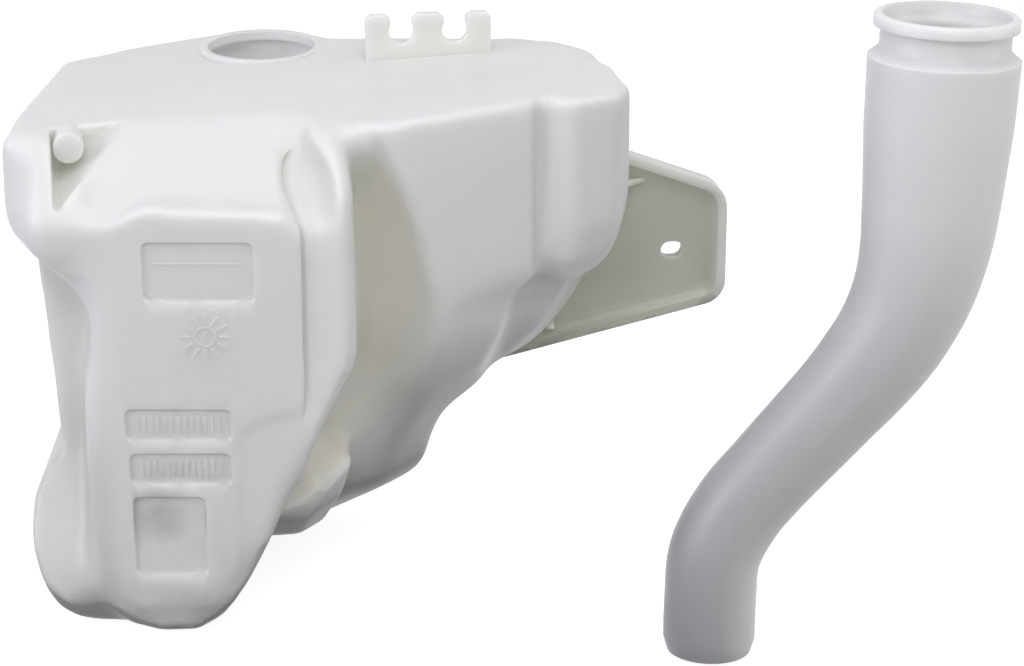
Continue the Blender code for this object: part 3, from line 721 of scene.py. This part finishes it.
hole_lip = disc("hole_lip", HOLE_BORE / 2 + HOLE_LIP_WIDTH, WALL + HOLE_LIP_RISE, HOLE_X, HOLE_Y,
                top_z(HOLE_X) - WALL)
join(tank, round_edges(hole_lip, 0.8), "UNION")


# The hollow and the two openings, cut last so that their edges stay crisp: the wall shows
# in the filler hole, and the bolt slot goes right through the ear.
HOLE_SPACE = 14.0

filler = disc("filler_hole", HOLE_BORE / 2, 30, HOLE_X, HOLE_Y, top_z(HOLE_X) - 18)
hole_space = disc("hole_space", HOLE_BORE / 2 + HOLE_LIP_WIDTH, HOLE_SPACE, HOLE_X, HOLE_Y,
                  top_z(HOLE_X) - WALL - HOLE_SPACE)
join(cavity, hole_space, "UNION")
half_slot = (SLOT_LENGTH - SLOT_WIDTH) / 2
slot_outline = (round_run(SLOT_X + half_slot, SLOT_HEIGHT, SLOT_WIDTH / 2, -90, 90, 14)
                + round_run(SLOT_X - half_slot, SLOT_HEIGHT, SLOT_WIDTH / 2, 90, 270, 14))
slot = plate("bolt_slot", slot_outline, -EAR_THICKNESS - 5, 5)
for cut in (cavity, filler, slot):
    join(tank, cut, "DIFFERENCE")


# What the mould leaves on the leg's front: four shallow fields with drafted sides, plain raised
# marks in them, and a round date dial with twelve strokes. All of it is bare of words.
FIELD_DEPTH = 1.2
FIELDS = [(-230, -186.5, 35, 60), (-239.5, -197.5, -24, -10), (-238.5, -198, -43, -29),
          (-238, -209, -83, -48)]
DIAL_X = -206.5
DIAL_Z = 21.0
DIAL_RADIUS = 9.6
MARK_RISE = 0.4
MARK_ROOT = 1.5
BARS = 13
STROKES = 12


def on_panel(outline, low, high):
    """Outline (x, z) carried through the leg's front plane between two depths."""
    return plate("mark", outline, lambda x: panel_y(x, low - PAD_RISE),
                 lambda x: panel_y(x, high - PAD_RISE))


def panel_field(left, right, bottom, top):
    """Shallow field whose four sides lean outwards, the lower one most."""
    rings = []
    for reach, depth in ((2.0, -2.0), (0.6, -0.4), (-0.7, FIELD_DEPTH)):
        corners = [(left - reach, bottom - 2 * reach), (right + reach, bottom - 2 * reach),
                   (right + reach, top + reach), (left - reach, top + reach)]
        outline = round_outline(corners, [3.0 + reach] * 4, 6)
        rings.append([(x, panel_y(x, depth - PAD_RISE), z) for x, z in outline])
    return loft("field", rings)


def bar(x, z, width, height, depth=0.0):
    """Small plain raised bar, with its middle at (x, z)."""
    left, right = x - width / 2, x + width / 2
    low, high = z - height / 2, z + height / 2
    corners = [(left, low), (right, low), (right, high), (left, high)]
    return on_panel(corners, depth - MARK_RISE, depth + MARK_ROOT)


def dot(x, z, radius, depth=0.0):
    """Small round raised mark."""
    return on_panel(round_run(x, z, radius, 0, 330, 11), depth - MARK_RISE, depth + MARK_ROOT)


def dial_ring(radius, width):
    """Raised ring round the date dial's middle."""
    sides = 48
    bm = bmesh.new()
    loops = []
    bore = radius - width
    for size, depth in ((radius, MARK_ROOT), (radius, -MARK_RISE), (bore, -MARK_RISE), (bore, MARK_ROOT)):
        run = round_run(DIAL_X, DIAL_Z, size, 0, 360 - 360 / sides, sides - 1)
        loops.append([bm.verts.new((x, panel_y(x, depth - PAD_RISE), z)) for x, z in run])
    bands(bm, loops + loops[:1])
    bmesh.ops.recalc_face_normals(bm, faces=bm.faces)
    bmesh.ops.scale(bm, vec=(MM, MM, MM), verts=bm.verts)
    return made("dial_ring", bm)


def ray_mark(turn, start, end, width):
    """Small raised stroke that points away from the date dial's middle."""
    corners = []
    for along, across in ((start, -0.5), (end, -0.5), (end, 0.5), (start, 0.5)):
        x = DIAL_X + along * cos(turn) - across * width * sin(turn)
        corners.append((x, DIAL_Z + along * sin(turn) + across * width * cos(turn)))
    return on_panel(corners, -MARK_RISE, MARK_ROOT)


join(tank, together("fields", [panel_field(*field) for field in FIELDS]), "DIFFERENCE")
marks = [dial_ring(4.4, 0.9), bar(DIAL_X, DIAL_Z, 0.9, 4.0)]
for k in range(STROKES):
    marks.append(ray_mark(2 * pi * k / STROKES, 5.6, DIAL_RADIUS, 1.1))
left, right, bottom, top = FIELDS[0]
marks.append(bar((left + right) / 2, top - 9, 34, 0.9, FIELD_DEPTH))
for x, z in ((left + 3, top - 3), (right - 3, top - 3), (left + 3, bottom + 3), (right - 2, bottom + 2)):
    marks.append(dot(x, z, 0.9, FIELD_DEPTH))
for left, right, bottom, top in FIELDS[1:3]:
    for k in range(BARS):
        bar_x = left + 5 + (right - left - 10) * k / (BARS - 1)
        marks.append(bar(bar_x, (bottom + top) / 2, 0.9, 6.5, FIELD_DEPTH))
join(tank, together("marks", marks), "UNION")

LONGEST_EDGE = 7.0
SPLIT_TURNS = 14


def split_long_edges(thing, longest):
    """Halve long edges, longest first, so that flat faces hold enough points for the kept shade."""
    bm = bmesh.new()
    bm.from_mesh(thing.data)
    bmesh.ops.remove_doubles(bm, verts=bm.verts, dist=0.01 * MM)
    bmesh.ops.dissolve_limit(bm, angle_limit=radians(0.05), verts=bm.verts, edges=bm.edges)
    bmesh.ops.triangulate(bm, faces=bm.faces)
    for _ in range(SPLIT_TURNS):
        long = [edge for edge in bm.edges if edge.is_manifold and edge.calc_length() > longest * MM]
        touched = set()
        for edge in sorted(long, key=lambda edge: -edge.calc_length()):
            faces = list(edge.link_faces)
            if touched.isdisjoint(faces):
                tips = [next(vertex for vertex in face.verts if vertex not in edge.verts)
                        for face in faces]
                middle = bmesh.utils.edge_split(edge, edge.verts[0], 0.5)[1]
                for face, tip in zip(faces, tips):
                    touched.update((face, bmesh.utils.face_split(face, middle, tip)[0]))
    bm.to_mesh(thing.data)
    bm.free()


split_long_edges(tank, LONGEST_EDGE)
tank.data.shade_smooth()
tank.data.set_sharp_from_angle(angle=radians(32))


# The milky plastic of both pieces: cloudy and finely grained, with painted shade, darker and more olive,
# where a hollow of the form or the floor keeps light from coming through the thin wall, and a painted glow.
SHADE_REACH = 150.0
SHADE_NEAR = 45.0
SHADE_RAYS = 40
SHADE_LIFT = 0.8
SHADE_APART = 15.0
SHADE_NEIGHBOURS = 9
INSIDE_SHARE = 0.95
FACING_LIMIT = 0.15
GOLDEN_TURN = 2.39996


def keep_values(thing, name, values):
    """Store one number for each vertex."""
    layer = thing.data.attributes.get(name) or thing.data.attributes.new(name, "FLOAT", "POINT")
    layer.data.foreach_set("value", values)


def keep_shade(thing, every, floor_reach):
    """Store, for painted shade and glow, the light each vertex loses to the form's hollows and to the
    floor, and which are inside.

    Rays go out from one vertex in every few; the rest take the mean of their nearest ones on
    the same face of the wall.
    """
    mesh = thing.data
    places, normals = (np.empty(len(mesh.vertices) * 3) for _ in range(2))
    mesh.vertices.foreach_get("co", places)
    mesh.vertex_normals.foreach_get("vector", normals)
    places, normals = places.reshape(-1, 3) / MM, normals.reshape(-1, 3)
    tree = BVHTree.FromPolygons([Vector(place) for place in places],
                                [face.vertices for face in mesh.polygons])
    fan = []
    for k in range(SHADE_RAYS):
        out, turn = ((k + 0.5) / SHADE_RAYS) ** 0.5, GOLDEN_TURN * k
        fan.append(Vector((out * cos(turn), out * sin(turn), (1 - out * out) ** 0.5)))
    keys = places + SHADE_APART * normals
    lookup = KDTree(len(places[::every]))
    shades = []
    for i, (place, normal) in enumerate(zip(places[::every], normals[::every])):
        normal = Vector(normal)
        turned = Vector((0, 0, 1)).rotation_difference(normal)
        start = Vector(place) + normal * SHADE_LIFT
        hollow, under, hits = 0.0, 0.0, 0
        for ray in fan:
            way = turned @ ray
            distance = tree.ray_cast(start, way, SHADE_REACH)[3]
            if distance is not None:
                hits += 1
                hollow += min(1.0, 0.3 + 0.7 * distance / SHADE_NEAR) * (1 - distance / SHADE_REACH)
            elif way.z < -0.01:
                under += max(0.0, 1 - (FLOOR_HEIGHT - start.z) / way.z / floor_reach)
        inside = float(hits > INSIDE_SHARE * SHADE_RAYS)
        downward = max(0.0, FACING_LIMIT - normal.z)
        shades.append((hollow / SHADE_RAYS * (1 - inside), under / SHADE_RAYS * downward, inside))
        lookup.insert(Vector(keys[::every][i]), i)
    lookup.balance()
    shades = np.array(shades)
    spread = np.empty((len(places), 3))
    for i, key in enumerate(keys):
        near = lookup.find_n(Vector(key), SHADE_NEIGHBOURS)
        weights = np.array([1 / (2 + distance) for _, _, distance in near])
        spread[i] = weights @ shades[[j for _, j, _ in near]] / weights.sum()
    for name, values in zip(("hollow", "under", "inside"), spread.T):
        keep_values(thing, name, values)
    return places, normals, spread


def noise(tree, place, scale, detail):
    """Noise value over object coordinates."""
    texture = add(tree, "ShaderNodeTexNoise")
    texture.inputs["Scale"].default_value = scale
    texture.inputs["Detail"].default_value = detail
    tree.links.new(place, texture.inputs["Vector"])
    return texture.outputs["Fac"]


def mapped(tree, value, low, high):
    """Value from 0..1 spread over low..high."""
    node = add(tree, "ShaderNodeMapRange")
    node.inputs["To Min"].default_value = low
    node.inputs["To Max"].default_value = high
    tree.links.new(value, node.inputs["Value"])
    return node.outputs["Result"]


def multiplied(tree, colour, other, share):
    """Colour times another colour, by a share that is a socket or a number."""
    node = add(tree, "ShaderNodeMix", data_type="RGBA", blend_type="MULTIPLY")
    if isinstance(share, float):
        node.inputs["Factor"].default_value = share
    else:
        tree.links.new(share, node.inputs["Factor"])
    tree.links.new(colour, node.inputs["A"])
    tree.links.new(other, node.inputs["B"])
    return node.outputs["Result"]


CLOUD_SCALE = 16.0
GLOSS_SCALE = 45.0
WAVE_SCALE = 60.0
GRAIN_SCALE = 900.0


def moulded_plastic():
    """Shared node group of the milky polyethylene, with its painted hollow and floor shade and its painted
    glow.
    """
    group = bpy.data.node_groups.new("moulded_plastic", "ShaderNodeTree")
    for name, kind in (("Tint", "Color"), ("Hollow Tint", "Color"), ("Under Tint", "Color"),
                       ("Painted Glow", "Color"), ("Hollow Shade", "Float"), ("Floor Shade", "Float")):
        group.interface.new_socket(name=name, in_out="INPUT", socket_type="NodeSocket" + kind)
    for name, kind in (("Color", "Color"), ("Painted Glow", "Color"), ("Roughness", "Float"),
                       ("Height", "Float")):
        group.interface.new_socket(name=name, in_out="OUTPUT", socket_type="NodeSocket" + kind)
    given, result = add(group, "NodeGroupInput"), add(group, "NodeGroupOutput")
    place = add(group, "ShaderNodeTexCoord").outputs["Object"]
    cloud = noise(group, place, CLOUD_SCALE, 3.0)
    fog = add(group, "ShaderNodeCombineColor")
    for channel, low in (("Red", 0.955), ("Green", 0.955), ("Blue", 0.94)):
        group.links.new(mapped(group, cloud, low, 2 - low), fog.inputs[channel])
    tinted = multiplied(group, given.outputs["Tint"], fog.outputs["Color"], 1.0)
    shaded = multiplied(group, tinted, given.outputs["Hollow Tint"], given.outputs["Hollow Shade"])
    shaded = multiplied(group, shaded, given.outputs["Under Tint"], given.outputs["Floor Shade"])
    group.links.new(shaded, result.inputs["Color"])
    # Painted glow, stronger where the painted hollow shade is deeper.
    share = add(group, "ShaderNodeCombineColor")
    for channel in ("Red", "Green", "Blue"):
        group.links.new(given.outputs["Hollow Shade"], share.inputs[channel])
    glow = multiplied(group, share.outputs["Color"], given.outputs["Painted Glow"], 1.0)
    group.links.new(glow, result.inputs["Painted Glow"])
    gloss = noise(group, place, GLOSS_SCALE, 4.0)
    group.links.new(mapped(group, gloss, 0.30, 0.44), result.inputs["Roughness"])
    grain = add(group, "ShaderNodeMath", operation="MULTIPLY_ADD")
    grain.inputs[1].default_value = 0.16
    group.links.new(noise(group, place, GRAIN_SCALE, 2.0), grain.inputs[0])
    group.links.new(noise(group, place, WAVE_SCALE, 2.0), grain.inputs[2])
    group.links.new(grain.outputs[0], result.inputs["Height"])
    return group


plastic_group = moulded_plastic()


def kept(tree, name, gain):
    """A number kept at the vertices, times a gain."""
    source = add(tree, "ShaderNodeAttribute", attribute_name=name)
    node = add(tree, "ShaderNodeMath", operation="MULTIPLY", use_clamp=True)
    node.inputs[1].default_value = gain
    tree.links.new(source.outputs["Fac"], node.inputs[0])
    return node.outputs[0]


def plastic_finish(name, tints, hollow_shade_gain, floor_shade_gain):
    """Milky plastic: base tint, painted hollow shade, painted floor shade and painted glow tints, and the
    gains of the two painted shades.
    """
    finish, shader = principled(name)
    tree = finish.node_tree
    shader.inputs["Subsurface Weight"].default_value = 0.7
    shader.inputs["Subsurface Radius"].default_value = (1.0, 0.95, 0.85)
    shader.inputs["Subsurface Scale"].default_value = 0.009
    shader.inputs["Emission Strength"].default_value = 1.0
    body = add(tree, "ShaderNodeGroup", node_tree=plastic_group)
    for socket, tint in zip(("Tint", "Hollow Tint", "Under Tint", "Painted Glow"), tints):
        body.inputs[socket].default_value = (*tint, 1)
    bump = add(tree, "ShaderNodeBump")
    bump.inputs["Strength"].default_value = 0.35
    bump.inputs["Distance"].default_value = 0.0004
    tree.links.new(kept(tree, "hollow", hollow_shade_gain), body.inputs["Hollow Shade"])
    tree.links.new(kept(tree, "under", floor_shade_gain), body.inputs["Floor Shade"])
    tree.links.new(body.outputs["Color"], shader.inputs["Base Color"])
    tree.links.new(body.outputs["Painted Glow"], shader.inputs["Emission Color"])
    tree.links.new(body.outputs["Roughness"], shader.inputs["Roughness"])
    tree.links.new(body.outputs["Height"], bump.inputs["Height"])
    tree.links.new(bump.outputs["Normal"], shader.inputs["Normal"])
    return finish, shader, body


def painted_ear_shade(x, y, z):
    """Share of painted shade on the flat ear, which has no hollow behind it for light to come through."""
    body_edge = np.interp(z, (-47, -32, -14, 4, 24, 60), (-91, -76, -60, -46, -37, -34))
    inside = ramp(x, EAR_RIGHT - 2, EAR_RIGHT - 7) * ramp(z + 0.38 * (x + 19), 55, 50)
    return ramp(x - body_edge, -1, 5) * ramp(y, -11.5, -9.5) * ramp(z, 66, 60) * (0.15 + 0.85 * inside)


def seen_in_hole(places, normals):
    """Share of the inner wall round the filler hole, which daylight reaches through the hole: it gets a
    painted glow there in place of painted hollow shade.
    """
    to_axis = np.array((HOLE_X, HOLE_Y)) - places[:, :2]
    inward = ramp((to_axis * normals[:, :2]).sum(axis=1) - 4 * normals[:, 2], 0.5, 4.0)
    near = inward * ramp(np.hypot(*to_axis.T), 62, 50) * ramp(places[:, 2], 30, 45)
    return near * ramp(places[:, 2] - top_z(places[:, 0]), -0.8, -2.0)


def near_floor(x, y, z):
    """More shade on the heel's left and the body's low right end, which turn away from the lamps."""
    low_left = 0.045 * ramp(x, -240, -256) * ramp(z, -10, -40)
    low_right = 0.05 * ramp(x, -150, -120) * ramp(z, -50, -75)
    return low_left + low_right


# Tints: base colour, painted hollow shade, painted floor shade and painted glow; then the ear's painted
# shade and the painted glow on the inner wall.
TANK_TINTS = [(0.70, 0.695, 0.69), (0.84, 0.83, 0.68), (0.34, 0.33, 0.31), (0.15, 0.15, 0.10)]
EAR_SHADE_TINT = (0.70, 0.71, 0.66)
PAINTED_INSIDE_GLOW = (0.12, 0.13, 0.15)

# Painted shade and glow kept at the tank's vertices: darker in hollows and towards the floor, glowing on
# the inner wall seen through the filler hole.
tank_places, tank_normals, shades = keep_shade(tank, every=9, floor_reach=170.0)
painted_hole_light = seen_in_hole(tank_places, tank_normals)
keep_values(tank, "painted_ear_shade", painted_ear_shade(*tank_places.T))
keep_values(tank, "inside", np.maximum(shades[:, 2], painted_hole_light))
keep_values(tank, "hollow", shades[:, 0] * (1 - painted_hole_light))
keep_values(tank, "under", shades[:, 1] + near_floor(*tank_places.T))
tank_finish, tank_shader, tank_body = plastic_finish(
    "milky_polyethylene", TANK_TINTS, hollow_shade_gain=1.0, floor_shade_gain=5.0)
nodes = tank_finish.node_tree
# Painted shade that darkens the flat ear.
ear_shade_tint = add(nodes, "ShaderNodeRGB")
ear_shade_tint.outputs[0].default_value = (*EAR_SHADE_TINT, 1)
ear_shade_share = add(nodes, "ShaderNodeAttribute", attribute_name="painted_ear_shade")
shaded_ear_colour = multiplied(nodes, tank_body.outputs["Color"], ear_shade_tint.outputs[0],
                        ear_shade_share.outputs["Fac"])
nodes.links.new(shaded_ear_colour, tank_shader.inputs["Base Color"])
# Painted glow on the inner wall of the tank.
inside_share = add(nodes, "ShaderNodeAttribute", attribute_name="inside")
painted_inside_glow = add(nodes, "ShaderNodeMix", data_type="RGBA")
painted_inside_glow.inputs["B"].default_value = (*PAINTED_INSIDE_GLOW, 1)
nodes.links.new(inside_share.outputs["Fac"], painted_inside_glow.inputs["Factor"])
nodes.links.new(tank_body.outputs["Painted Glow"], painted_inside_glow.inputs["A"])
nodes.links.new(painted_inside_glow.outputs["Result"], tank_shader.inputs["Emission Color"])
tank.data.materials.clear()
tank.data.materials.append(tank_finish)
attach(tank, "root")
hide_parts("tank")


# The filler neck: a second blown piece, a tapering S-shaped tube with a collar and a rim
# for the cap. Its lower end goes in the tank's filler hole; here it stands beside the tank.
NECK_WALL = 2.2
NECK_END_DIAMETER = 37.0
NECK_TOP_DIAMETER = 59.0
NECK_COLLAR_DIAMETER = 50.5
NECK_COLLAR_HEIGHT = 11.0
NECK_RIM_DIAMETER = 56.0
NECK_RIM_HEIGHT = 5.5
NECK_STEPS = [
    (0, 0, 0), (0.4, 1.1, 21), (2.1, 2.1, 41), (10.9, 3, 58.5), (23.3, 3.7, 73.3), (48.7, 5.1, 100.6),
    (61.3, 5.8, 115), (72, 6.5, 130), (79.8, 7.4, 147.3), (83.9, 8.3, 165.3), (85.7, 9.3, 184.5),
    (86.7, 10.2, 203), (87.7, 11.1, 222), (88.4, 12, 240)]
NECK_X = -10.0
NECK_Y = -147.0
NECK_SIDES = 96


def smooth_path(points, steps):
    """Catmull-Rom curve through the given points, with that many pieces between neighbours."""
    spots = [Vector(point) for point in points]
    spots = [spots[0] * 2 - spots[1]] + spots + [spots[-1] * 2 - spots[-2]]
    run = []
    for four in zip(spots, spots[1:], spots[2:], spots[3:]):
        for k in range(steps):
            run.append(spline(four, k / steps))
    return run + [spots[-2]]


def ring_at(place, direction, radius):
    """Circle of points round a place, square to a direction."""
    side = direction.cross(Vector((0, 1, 0))).normalized()
    other = direction.cross(side).normalized()
    ring = []
    for k in range(NECK_SIDES):
        angle = 2 * pi * k / NECK_SIDES
        ring.append(place + radius * (cos(angle) * side + sin(angle) * other))
    return ring


neck_end = NECK_END_DIAMETER / 2
neck_top = NECK_TOP_DIAMETER / 2
profile_shares = (0.0, 0.02, 0.30, 0.45, 0.60, 0.75, 0.90, 1.0)
profile_radii = (neck_end - 1.6, neck_end, neck_end, neck_end + 1.2, neck_end + 4.0, neck_end + 7.8,
                 neck_top - 0.6, neck_top)
neck_path = smooth_path([Vector((NECK_X, NECK_Y, FLOOR)) + Vector(step) for step in NECK_STEPS], 8)
lengths = [0.0]
for a, b in zip(neck_path, neck_path[1:]):
    lengths.append(lengths[-1] + (b - a).length)
outer, inner = [], []
for i, place in enumerate(neck_path):
    direction = (neck_path[min(i + 1, len(neck_path) - 1)] - neck_path[max(i - 1, 0)]).normalized()
    radius = float(np.interp(lengths[i] / lengths[-1], profile_shares, profile_radii))
    outer.append(ring_at(place, direction, radius))
    inner.append(ring_at(place, direction, radius - NECK_WALL))
collar = NECK_COLLAR_DIAMETER / 2
rim = NECK_RIM_DIAMETER / 2
for rise, radius in [(1.5, rim - 0.5), (3.0, collar + 0.6), (4.5, collar), (NECK_COLLAR_HEIGHT, collar),
                     (NECK_COLLAR_HEIGHT + 0.8, rim), (NECK_COLLAR_HEIGHT + NECK_RIM_HEIGHT - 0.8, rim),
                     (NECK_COLLAR_HEIGHT + NECK_RIM_HEIGHT, rim - 0.8)]:
    outer.append(ring_at(neck_path[-1] + direction * rise, direction, radius))
bore = collar - NECK_WALL
for rise, radius in [(4.5, bore), (NECK_COLLAR_HEIGHT - 0.5, bore),
                     (NECK_COLLAR_HEIGHT + 1.0, bore + 1.6),
                     (NECK_COLLAR_HEIGHT + NECK_RIM_HEIGHT, bore + 1.6)]:
    inner.append(ring_at(neck_path[-1] + direction * rise, direction, radius))

bm = bmesh.new()
rings = [[bm.verts.new(point * MM) for point in ring] for ring in outer + inner[::-1]]
bands(bm, rings + rings[:1])
bmesh.ops.recalc_face_normals(bm, faces=bm.faces)
neck = made("neck_skin", bm)
neck.data.shade_smooth()
neck.data.set_sharp_from_angle(angle=radians(50))
# Tints: base colour, painted hollow shade, painted floor shade and painted glow.
NECK_TINTS = [(0.75, 0.745, 0.74), (0.85, 0.85, 0.84), (0.36, 0.36, 0.38), (0.06, 0.06, 0.06)]
neck_places, neck_normals, _ = keep_shade(neck, every=6, floor_reach=330.0)
# Painted shade on the neck: darker towards its lower end and on the side that faces left, kept as its floor
# shade.
painted_low_shade = np.interp(neck_places[:, 2], (-110, -60, 20, 75), (1.45, 1.1, 0.8, 0.1))
painted_side_shade = 0.62 - np.where(neck_normals[:, 0] > 0, 0.5, 0.15) * neck_normals[:, 0]
keep_values(neck, "under", np.clip(painted_low_shade * painted_side_shade, 0, 1))
neck_finish = plastic_finish("neck_polyethylene", NECK_TINTS, hollow_shade_gain=1.0, floor_shade_gain=1.0)[0]
neck.data.materials.append(neck_finish)
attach(neck, "root")
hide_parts("filler_neck")
